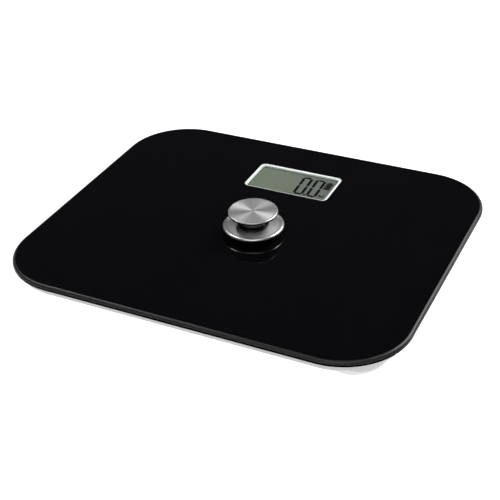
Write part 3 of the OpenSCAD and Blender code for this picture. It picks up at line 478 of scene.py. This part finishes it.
def make_cap():
    """The cap: a disc with a rounded rim round its spun face, and a tucked-in underside."""
    top, low = cap_high.z, cap_low.z
    r = (cap_high.x - cap_low.x) / 2
    under, over, rim, dish, flat = 1.0 * MM, 0.8 * MM, 0.7 * MM, 0.06 * MM, 0.2 * MM
    profile = [(0, low), (r - under, low)] + arc(r - under, low + under, under, -90, 0, 8)[1:]
    profile += arc(r - over, top - over, over, 0, 90, 10)
    profile += [(r - over - rim, top), (r - over - rim - 3 * dish, top - dish),
                (r - over - rim - 3 * dish - flat, top - dish), (0, top - dish)]
    cap = lathe("knob_cap_disc", profile, MATERIALS["spun_steel"], "knob")
    # the cap's side and underside get painted shade
    polish_and_shade_rim(cap, lambda face: face.normal.z < FACE_TILT)
    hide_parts("knob_cap")


def make_flange():
    """The flange: a shallow spun dish inside a broad rounded rim."""
    top, low = flange_high.z, flange_low.z
    r = (flange_high.x - flange_low.x) / 2
    hole, under, over = 12.3 * MM, 0.5 * MM, 1.8 * MM
    rim, slope, dish, flat = 0.4 * MM, 1.6 * MM, 0.5 * MM, 0.2 * MM
    profile = [(hole, low), (r - under, low)] + arc(r - under, low + under, under, -90, 0, 6)[1:]
    profile += arc(r - over, top - over, over, 0, 90, 12)
    profile += [(r - over - rim, top), (r - over - rim - slope, top - dish),
                (r - over - rim - slope - flat, top - dish), (hole, top - dish)]
    flange = lathe("knob_flange_disc", profile, MATERIALS["spun_flange"], "case")
    # the flange rim's side and underside get painted shade
    polish_and_shade_rim(flange, lambda face: (face.center - KNOB).to_2d().length > r - over - rim / 2)
    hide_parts("knob_flange")


def make_spring():
    """The return spring: a coil with a closed turn at each end, built at its rest length; the real spring
    shortens as the knob goes down.
    """
    wire, turns, closed, around, per_turn = 1.1 * MM, 6, 0.9, 12, 40
    height = spring_high.z - spring_low.z
    radius = (spring_high.x - spring_low.x - wire) / 2
    rise = height - wire - 2 * closed * wire
    bm = bmesh.new()
    rings = []
    for k in range(turns * per_turn + 1):
        turn = k / per_turn
        ends = min(turn, closed) + max(turn - (turns - closed), 0)
        opened = min(max((turn - closed) / (turns - 2 * closed), 0), 1)
        level = spring_low.z + wire / 2 + ends * wire + opened * rise
        ring = []
        for j in range(around):
            out = math.cos(math.tau * j / around) * wire / 2
            up = math.sin(math.tau * j / around) * wire / 2
            ring.append(bm.verts.new((KNOB.x + (radius + out) * math.cos(math.tau * turn),
                                      KNOB.y + (radius + out) * math.sin(math.tau * turn), level + up)))
        rings.append(ring)
    skin(bm, rings, closed=False)
    bm.faces.new(rings[0][::-1])
    bm.faces.new(rings[-1])
    spring = finish_mesh("return_coil", bm, MATERIALS["spring_steel"], 60)
    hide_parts("return_spring")
    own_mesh(spring)


# ---------- display ----------

def make_frame():
    """The silver-white frame: a rounded rectangle, its lip narrow along the front and wide along the back."""
    soft, lean, arc_steps = 0.35 * MM, 0.6, 4  # the lip's edge radius, and how far its outer side leans in
    top, low = bezel_high.z, bezel_low.z
    flange_top, flange_r = film_low.z - 0.05 * MM, 2.6 * MM
    bm = bmesh.new()

    def ring(width, depth, radius, centre, height):
        return outline_ring(bm, centre, rounded_outline(width, depth, radius, 16), height)

    wide, deep = FRAME_W + 2 * HIDDEN_FLANGE, FRAME_D + 2 * HIDDEN_FLANGE
    rings = [ring(wide, deep, flange_r, DISPLAY, low),
             ring(wide, deep, flange_r, DISPLAY, flange_top),
             ring(FRAME_W, FRAME_D, FRAME_R, DISPLAY, flange_top)]
    turns = [math.radians(90 * k / arc_steps) for k in range(arc_steps + 1)]
    for a in turns:
        cut = soft * lean * math.sin(a)
        rings.append(ring(FRAME_W - 2 * cut, FRAME_D - 2 * cut, FRAME_R, DISPLAY,
                          top - soft * (1 - math.sin(a))))
    for a in turns:
        grow = soft * (1 - math.sin(a))
        rings.append(ring(OPENING_W + 2 * grow, OPENING_D + 2 * grow, OPENING_R + grow, OPENING,
                          top - soft * (1 - math.cos(a))))
    rings.append(ring(OPENING_W, OPENING_D, OPENING_R, OPENING, low))
    skin(bm, rings)
    bezel = finish_mesh("bezel_frame", bm, MATERIALS["bezel_white"], 40)
    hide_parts("display_bezel")


def make_shade_ring():
    """A thin dark ring between the frame and the cell, seen as a line round the opening: painted shade for
    the shadow at the foot of the frame.
    """
    gap, width = 0.02 * MM, 0.75 * MM
    low, high = lcd_high.z - 0.05 * MM, lcd_high.z + 0.05 * MM
    bm = bmesh.new()
    rings = []
    for inset, height in ((gap, low), (gap, high), (width, high), (width, low)):
        outline = rounded_outline(OPENING_W - 2 * inset, OPENING_D - 2 * inset, OPENING_R - inset, 12)
        rings.append(outline_ring(bm, OPENING, outline, height))
    skin(bm, rings)
    # painted shade: a dark ring in the dark rubber's colour
    shade_ring = finish_mesh("cell_painted_shade_ring", bm, MATERIALS["seal_rubber"], 30)


def bar(bm, points, low, high):
    """A flat prism over a convex outline of (x, y), from the display's centre."""
    lower, upper = outline_ring(bm, DISPLAY, points, low), outline_ring(bm, DISPLAY, points, high)
    bm.faces.new(upper)
    bm.faces.new(lower[::-1])
    skin(bm, [lower, upper], closed=False)


def zero_bars(x, y, width, height, stroke, gap):
    """The six bars of a zero, as mitred hexagons: x, y is the digit's middle."""
    w, h, t = width / 2, height / 2, stroke / 2
    corners = [Vector(c) for c in ((-w, h), (w, h), (w, 0), (w, -h), (-w, -h), (-w, 0))]
    for a, b in zip(corners, corners[1:] + corners[:1]):
        along = (b - a).normalized()
        mitre, across = along * t, Vector((-along.y, along.x)) * t
        a, b = a + along * gap, b - along * gap
        yield [(x + p.x, y + p.y) for p in
               (a, a + mitre - across, b - mitre - across, b, b - mitre + across, a + mitre + across)]


def make_symbols():
    """Dark symbols of the cell: two digits with a point, a battery with three bars, and a plain unit mark."""
    low = lcd_high.z - 0.05 * MM
    high = lcd_high.z + 0.04 * MM
    y_mid, height, width, stroke, gap, lean = -0.5 * MM, 26.4 * MM, 6.9 * MM, 2.5 * MM, 0.14 * MM, 0.035
    bm = bmesh.new()
    for x in (9.3 * MM, 21.1 * MM):
        for outline in zero_bars(x, y_mid, width, height, stroke, gap):
            bar(bm, [(px - (py - y_mid) * lean, py) for px, py in outline], low, high)

    def block(x0, x1, y0, y1):
        """A rectangle, in mm from the display's centre."""
        bar(bm, [(x0 * MM, y0 * MM), (x1 * MM, y0 * MM), (x1 * MM, y1 * MM), (x0 * MM, y1 * MM)], low, high)

    block(14.9, 16.9, -14.7, -12.6)  # the point
    for k in range(3):  # the battery's charge
        block(27.5, 31.5, 1.0 + 3.3 * k, 4.0 + 3.3 * k)
    block(26.6, 27.3, 0.0, 11.4)  # its outline
    block(31.7, 32.4, 0.0, 11.4)
    block(27.3, 31.7, 0.0, 0.7)
    block(27.3, 31.7, 10.9, 11.4)
    block(28.2, 30.8, 11.4, 12.6)  # its terminal
    for k in range(3):  # the unit mark
        block(27.6 + 1.6 * k, 28.8 + 1.6 * k, -12.8, -9.2 if k % 2 == 0 else -10.8)
    symbols = finish_mesh("cell_symbols", bm, SEGMENT_INK, 20)


make_camera()
make_platform()
make_cap()
make_flange()
make_spring()
make_frame()
make_shade_ring()
make_symbols()


# ---------- studio ----------

def area_light(name, direction, distance, size, power):
    """A soft box of the given size and power, facing the origin from a direction."""
    lamp = bpy.data.lights.new(name, "AREA")
    lamp.shape = "RECTANGLE"
    lamp.size, lamp.size_y = size
    lamp.energy = power
    obj = bpy.data.objects.new(name, lamp)
    direction = Vector(direction).normalized()
    obj.location = direction * distance
    obj.rotation_mode = "QUATERNION"
    obj.rotation_quaternion = direction.to_track_quat("Z", "Y")
    bpy.context.collection.objects.link(obj)


def light_table(name, glow):
    """Pale floor that glows a little from below, as a photographer's light table does."""
    mat, nodes, links, shader = new_material(name)
    shader.inputs["Base Color"].default_value = (0.9, 0.9, 0.9, 1)
    shader.inputs["Roughness"].default_value = 0.8
    shader.inputs["Emission Color"].default_value = (1, 1, 1, 1)
    shader.inputs["Emission Strength"].default_value = glow
    return mat


def make_studio():
    reach, drop = 12, 0.2 * MM  # the floor's half width, and how far it lies below the feet
    bm = bmesh.new()
    corners = ((-1, -1), (1, -1), (1, 1), (-1, 1))
    bm.faces.new([bm.verts.new((sx * reach, sy * reach, -drop)) for sx, sy in corners])
    mesh = bpy.data.meshes.new("floor")
    bm.to_mesh(mesh)
    bm.free()
    floor = bpy.data.objects.new("floor", mesh)
    mesh.materials.append(light_table("studio_floor", 0.75))
    bpy.context.collection.objects.link(floor)

    world = bpy.data.worlds.new("studio")
    world.use_nodes = True
    world.node_tree.nodes["Background"].inputs["Color"].default_value = (0.027, 0.025, 0.03, 1)
    world.node_tree.nodes["Background"].inputs["Strength"].default_value = 1
    bpy.context.scene.world = world
    bpy.context.scene.view_settings.view_transform = "Standard"

    area_light("overhead", (0.15, -0.5, 1), 2.0, (1.4, 1.2), 11)
    area_light("left_box", (-0.56, 0.17, 0.81), 1.6, (0.24, 0.24), 6)
    area_light("right_back_box", (0.4, 0.62, 0.675), 1.7, (0.9, 0.8), 20)


make_studio()
